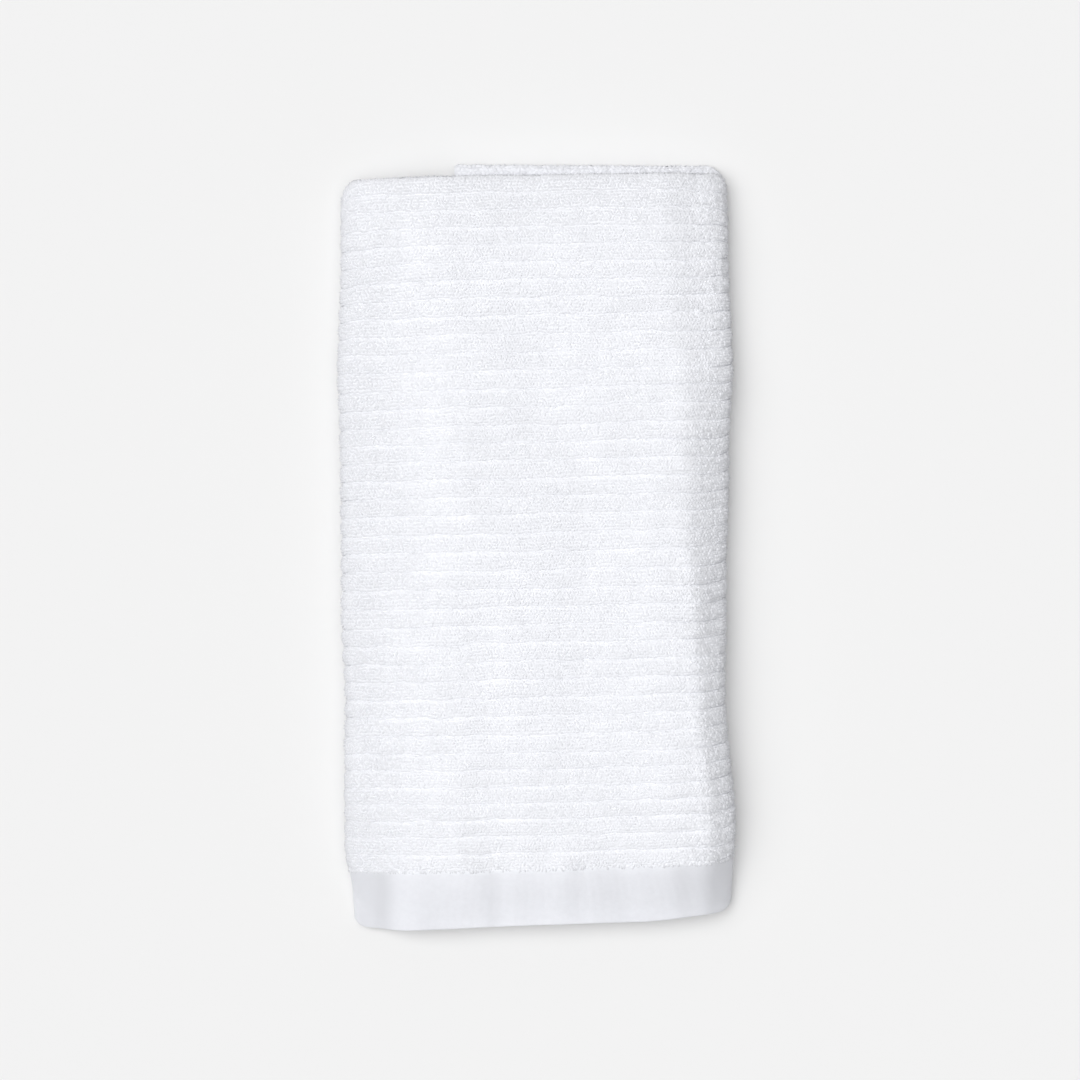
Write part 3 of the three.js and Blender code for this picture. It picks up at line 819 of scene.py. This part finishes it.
SPECULAR = 0.2
SHEEN_ROUGHNESS = 0.5
WAVE_PERIOD = 0.314  # metres from wave to wave at a scale of 1
MIX_FACTOR, MIX_FIRST, MIX_SECOND, MIX_RESULT = 0, 6, 7, 2  # a colour mix's sockets
BAND_PATCHES = (0.93, 1.05)  # its colour varies between these shares


def new_material(name, colour, roughness, sheen):
    """A material with its shader: colour, roughness and sheen as given."""
    material = bpy.data.materials.new(name)
    material.use_nodes = True
    shader = material.node_tree.nodes["Principled BSDF"]
    shader.inputs["Base Color"].default_value = (*colour, 1)
    shader.inputs["Roughness"].default_value = roughness
    shader.inputs["Specular IOR Level"].default_value = SPECULAR
    shader.inputs["Sheen Weight"].default_value = sheen
    shader.inputs["Sheen Roughness"].default_value = SHEEN_ROUGHNESS
    return material, shader


def node(material, kind, **values):
    """A new node; each value is an attribute of the node, or an input socket with that name."""
    made = material.node_tree.nodes.new(kind)
    for key, value in values.items():
        if hasattr(made, key):
            setattr(made, key, value)
        else:
            made.inputs[key.replace("_", " ").title()].default_value = value
    return made


def colour_mix(material, factor, colour, first, second):
    """A mix by the factor of the colour times first and the colour times second, none above 1."""
    mix = node(material, "ShaderNodeMix", data_type="RGBA")
    for socket, share in ((MIX_FIRST, first), (MIX_SECOND, second)):
        mix.inputs[socket].default_value = (*[min(1, share * c) for c in colour], 1)
    material.node_tree.links.new(factor, mix.inputs[MIX_FACTOR])
    return mix


def texture(material, place, kind, **values):
    """The value of a texture over the object's own coordinates."""
    made = node(material, f"ShaderNodeTex{kind}", **values)
    material.node_tree.links.new(place.outputs["Object"], made.inputs["Vector"])
    return made.outputs["Fac"]


def finish(material, shader, colour, height, strength, distance):
    """Give the shader that colour, and raise its surface by that height, as a bump."""
    link = material.node_tree.links.new
    bump = node(material, "ShaderNodeBump", strength=strength, distance=distance)
    link(colour.outputs[MIX_RESULT], shader.inputs["Base Color"])
    link(height, bump.inputs["Height"])
    link(bump.outputs["Normal"], shader.inputs["Normal"])


def terry_material(terry):
    """White cotton pile: painted shade down between the loops, patches a shade apart, and fine
    yarns.
    """
    material, shader = new_material("terry_pile", terry.colour, terry.roughness, terry.sheen)
    link = material.node_tree.links.new
    place = node(material, "ShaderNodeTexCoord")
    lightness = node(material, "ShaderNodeAttribute", attribute_name="lightness")
    patches = texture(material, place, "Noise", scale=45.0, detail=6.0, roughness=0.75)
    spread = node(
        material, "ShaderNodeMapRange", from_min=0.3, from_max=0.7, to_min=-0.15, to_max=0.15
    )
    both = node(material, "ShaderNodeMath", operation="ADD", use_clamp=True)
    link(patches, spread.inputs["Value"])
    link(spread.outputs["Result"], both.inputs[0])
    link(lightness.outputs["Fac"], both.inputs[1])
    colour = colour_mix(material, both.outputs["Value"], terry.colour, terry.painted_crevice_shade, 1)
    yarns = texture(material, place, "Noise", scale=1500.0, detail=2.0, roughness=0.6)
    finish(material, shader, colour, yarns, strength=0.2, distance=0.0001)
    return material


def band_material(band):
    """Plain-woven cotton: soft patches, painted shade at its ends and painted sheen streaks, and
    fine cords both ways in the bump.
    """
    material, shader = new_material("woven_band", band.colour, band.roughness, band.sheen)
    link = material.node_tree.links.new
    place = node(material, "ShaderNodeTexCoord")
    lightness = node(material, "ShaderNodeAttribute", attribute_name="lightness")
    patches = texture(material, place, "Noise", scale=260.0, detail=5.0, roughness=0.7)
    weave = colour_mix(material, patches, band.colour, *BAND_PATCHES)
    colour = colour_mix(material, lightness.outputs["Fac"], band.colour, band.turned, 1)
    link(weave.outputs[MIX_RESULT], colour.inputs[MIX_SECOND])
    both = node(material, "ShaderNodeMath", operation="ADD")
    for socket, (direction, distortion) in enumerate((("Y", 1.2), ("X", 0.8))):
        cords = texture(
            material, place, "Wave", bands_direction=direction, detail=2.0,
            scale=WAVE_PERIOD / band.weave_pitch, distortion=distortion,
        )
        link(cords, both.inputs[socket])
    finish(material, shader, colour, both.outputs["Value"], strength=0.5, distance=0.0003)
    return material


# ---- what a user may change ----


class TerryProperties(PropertyGroup):
    """Sizes and finish of the ribbed terry."""

    rib_pitch: FloatProperty(
        name="Rib pitch", description="From one groove to the next", default=0.01275,
        min=0.008, max=0.02, unit="LENGTH",
    )
    rib_depth: FloatProperty(
        name="Rib depth", description="From a rib's crown down to its groove", default=0.0009,
        min=0.0005, max=0.002, unit="LENGTH",
    )
    pile_height: FloatProperty(
        name="Pile height", description="How far the loops stand out of the cloth",
        default=0.0010, min=0.0003, max=0.002, unit="LENGTH",
    )
    loop_length: FloatProperty(
        name="Loop length", description="Length of one loop of the pile", default=0.0032,
        min=0.001, max=0.004, unit="LENGTH",
    )
    loop_breadth: FloatProperty(
        name="Loop breadth", description="Breadth of one loop's yarn", default=0.0019,
        min=0.0004, max=0.003, unit="LENGTH",
    )
    loop_pitch: FloatProperty(
        name="Loop pitch", description="From loop to loop across the front", default=0.0021,
        min=0.0012, max=0.004, unit="LENGTH",
    )
    colour: FloatVectorProperty(
        name="Terry colour", description="Colour of the pile", subtype="COLOR",
        default=(0.864, 0.872, 0.911), min=0, max=1,
    )
    # painted shade: how dark the yarn is painted down between the loops
    painted_crevice_shade: FloatProperty(
        name="Crevices", description="How light the yarn looks down between the loops",
        default=0.8, min=0, max=1, subtype="FACTOR",
    )
    roughness: FloatProperty(
        name="Roughness", description="Roughness of the pile", default=1.0, min=0, max=1,
        subtype="FACTOR",
    )
    sheen: FloatProperty(
        name="Sheen", description="Light caught by the loose fibres", default=0.15, min=0, max=1,
        subtype="FACTOR",
    )


class BandProperties(PropertyGroup):
    """Finish of the plain-woven end band."""

    weave_pitch: FloatProperty(
        name="Weave pitch", description="From one cord of the weave to the next",
        default=0.0008, min=0.0003, max=0.003, unit="LENGTH",
    )
    colour: FloatVectorProperty(
        name="Band colour", description="Colour of the woven band", subtype="COLOR",
        default=(0.888, 0.899, 0.946), min=0, max=1,
    )
    # painted shade: how dark the band is painted where it turns down at its ends and in its
    # painted sheen streaks
    turned: FloatProperty(
        name="Turned ends", description="How light the weave looks where the band turns down",
        default=0.78, min=0, max=1, subtype="FACTOR",
    )
    roughness: FloatProperty(
        name="Roughness", description="Roughness of the band", default=0.6, min=0, max=1,
        subtype="FACTOR",
    )
    sheen: FloatProperty(
        name="Sheen", description="Light caught by the band's fibres", default=0.15, min=0, max=1,
        subtype="FACTOR",
    )


class StageProperties(PropertyGroup):
    """The floor, the light and the camera."""

    floor_colour: FloatVectorProperty(
        name="Floor colour", description="Colour of the floor", subtype="COLOR",
        default=(0.80, 0.80, 0.80), min=0, max=1,
    )
    ambient: FloatProperty(
        name="Ambient light", description="Strength of the light from all round", default=0.175,
        min=0, max=5,
    )
    key_strength: FloatProperty(
        name="Key light", description="Strength of the soft light from the left", default=1.72,
        min=0, max=20,
    )
    key_height: FloatProperty(
        name="Key height", description="Angle of the key light above the floor",
        default=np.radians(60), min=0.1, max=1.571, unit="ROTATION",
    )
    key_side: FloatProperty(
        name="Key side", description="Turn of the key light, from the towel's lower end",
        default=np.radians(-108), min=-3.15, max=3.15, unit="ROTATION",
    )
    key_softness: FloatProperty(
        name="Key softness", description="Angle that the key light spans",
        default=np.radians(66), min=0.01, max=3, unit="ROTATION",
    )
    scrim_strength: FloatProperty(
        name="Overhead scrim", description="Strength of the broad light from above", default=1.47,
        min=0, max=20,
    )
    scrim_height: FloatProperty(
        name="Scrim height", description="Angle of the scrim's middle above the floor",
        default=np.radians(87), min=0.1, max=1.571, unit="ROTATION",
    )
    scrim_side: FloatProperty(
        name="Scrim side", description="Turn of the scrim, from the towel's lower end",
        default=np.radians(-90), min=-3.15, max=3.15, unit="ROTATION",
    )
    scrim_softness: FloatProperty(
        name="Scrim softness", description="Angle that the scrim spans",
        default=np.radians(90), min=0.01, max=3, unit="ROTATION",
    )
    camera_height: FloatProperty(
        name="Camera height", description="From the towel's top to the camera", default=1.5,
        min=0.3, max=10, unit="LENGTH",
    )


# ---- the operators ----

FLOOR = [(-4, -4, 0), (4, -4, 0), (4, 4, 0), (-4, 4, 0)]  # its corners, in metres
FLOOR_ROUGHNESS = 0.9
LENS, SENSOR = 71.7, 36.0  # in millimetres
FAR = 50.0  # metres that the camera sees
CAMERA_SHIFT = (0.0028, 0.0046, 0)  # the camera stands this far off the towel's middle
STATE = {}  # what the cloth's operator leaves for the pile's


class TOWEL_OT_cloth(Operator):
    """Make the towel's cloth: one closed folded sheet with its ribs and its woven end band"""

    bl_idname = "towel.cloth"
    bl_label = "Cloth"

    def execute(self, context):
        surfaces = cloth_surfaces(context.scene.towel_terry)
        surfaces["frames"] = surface_normals(surfaces["face"])
        points, faces, uv, plain = cloth_mesh(surfaces)
        width = surfaces["columns"]
        # painted shade down in the pile on the cloth; on the band its duller tone and painted
        # shade
        terry_painted_shade = GROUND_SHADE * painted_pile_shade(width)
        shade = np.where(surfaces["rows"] < BAND_AT, terry_painted_shade, band_tone_and_painted_shade(width))
        light = np.tile(1 - shade.ravel(), 2)
        piece = new_mesh("towel_cloth", points, faces, uv, light, plain)
        piece.data.materials.append(terry_material(context.scene.towel_terry))
        piece.data.materials.append(band_material(context.scene.towel_band))
        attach(piece, BODY)
        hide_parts(NODE)
        STATE["surfaces"] = surfaces
        STATE["cloth"] = piece
        return {"FINISHED"}


class TOWEL_OT_pile(Operator):
    """Make the loops of the terry on the front, round the folds and underneath"""

    bl_idname = "towel.pile"
    bl_label = "Terry pile"

    def execute(self, context):
        if "surfaces" not in STATE:
            raise RuntimeError("the cloth comes before its pile")
        terry, surfaces = context.scene.towel_terry, STATE["surfaces"]
        batches = pile_batches(surfaces["lines"])
        made = [fringe(surfaces, terry)]
        made += [pile_piece(surfaces, terry, *batch) for batch in batches]
        return {"FINISHED"}


class TOWEL_OT_stage(Operator):
    """Make the floor, the soft light and the camera above the towel"""

    bl_idname = "towel.stage"
    bl_label = "Stage"

    def execute(self, context):
        stage = context.scene.towel_stage
        scene = context.scene
        mesh = bpy.data.meshes.new("floor")
        mesh.from_pydata(FLOOR, [], [(0, 1, 2, 3)])
        floor = bpy.data.objects.new("floor", mesh)
        scene.collection.objects.link(floor)
        material, _ = new_material("floor_paper", stage.floor_colour, FLOOR_ROUGHNESS, 0.0)
        mesh.materials.append(material)
        floor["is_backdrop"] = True

        for name in ("key", "scrim"):
            light = bpy.data.lights.new(name, "SUN")
            light.energy = getattr(stage, f"{name}_strength")
            light.angle = getattr(stage, f"{name}_softness")
            lamp = bpy.data.objects.new(name, light)
            height, side = getattr(stage, f"{name}_height"), getattr(stage, f"{name}_side")
            lamp.rotation_euler = (np.pi / 2 - height, 0, side)
            scene.collection.objects.link(lamp)

        world = bpy.data.worlds.new("studio")
        scene.world = world
        world.use_nodes = True
        background = world.node_tree.nodes["Background"]
        background.inputs["Color"].default_value = (1, 1, 1, 1)
        background.inputs["Strength"].default_value = stage.ambient

        camera = bpy.data.objects.new("camera", bpy.data.cameras.new("camera"))
        camera.data.lens = LENS
        camera.data.sensor_width = SENSOR
        camera.data.clip_end = FAR
        x, y, _ = (FRAME_LOW + FRAME_HIGH) / 2 + CAMERA_SHIFT
        camera.location = (x, y, FRAME_HIGH[2] + stage.camera_height)
        scene.collection.objects.link(camera)
        scene.camera = camera
        scene.view_settings.view_transform = "Standard"
        return {"FINISHED"}


class TOWEL_PT_panel(Panel):
    """The towel's operators and its sizes and colours"""

    bl_label = "Folded bath towel"
    bl_idname = "TOWEL_PT_panel"
    bl_space_type = "VIEW_3D"
    bl_region_type = "UI"
    bl_category = "Towel"

    def draw(self, context):
        layout = self.layout
        for operator in OPERATORS:
            layout.operator(operator.bl_idname)
        for group in SETTINGS:
            settings = getattr(context.scene, f"towel_{group}")
            box = layout.box()
            box.label(text=group.title())
            for name in settings.__annotations__:
                box.prop(settings, name)


SETTINGS = {"terry": TerryProperties, "band": BandProperties, "stage": StageProperties}
OPERATORS = (TOWEL_OT_cloth, TOWEL_OT_pile, TOWEL_OT_stage)
CLASSES = (*SETTINGS.values(), *OPERATORS, TOWEL_PT_panel)


def register():
    """Add the classes, and the settings to the scene."""
    for one in CLASSES:
        bpy.utils.register_class(one)
    for name, group in SETTINGS.items():
        setattr(bpy.types.Scene, f"towel_{name}", PointerProperty(type=group))


def unregister():
    """Take the settings and the classes away again."""
    for name in SETTINGS:
        delattr(bpy.types.Scene, f"towel_{name}")
    for one in reversed(CLASSES):
        bpy.utils.unregister_class(one)


def main():
    """Make the towel and its stage."""
    register()
    bpy.ops.towel.cloth()
    bpy.ops.towel.pile()
    bpy.ops.towel.stage()


if __name__ == "__main__":
    main()
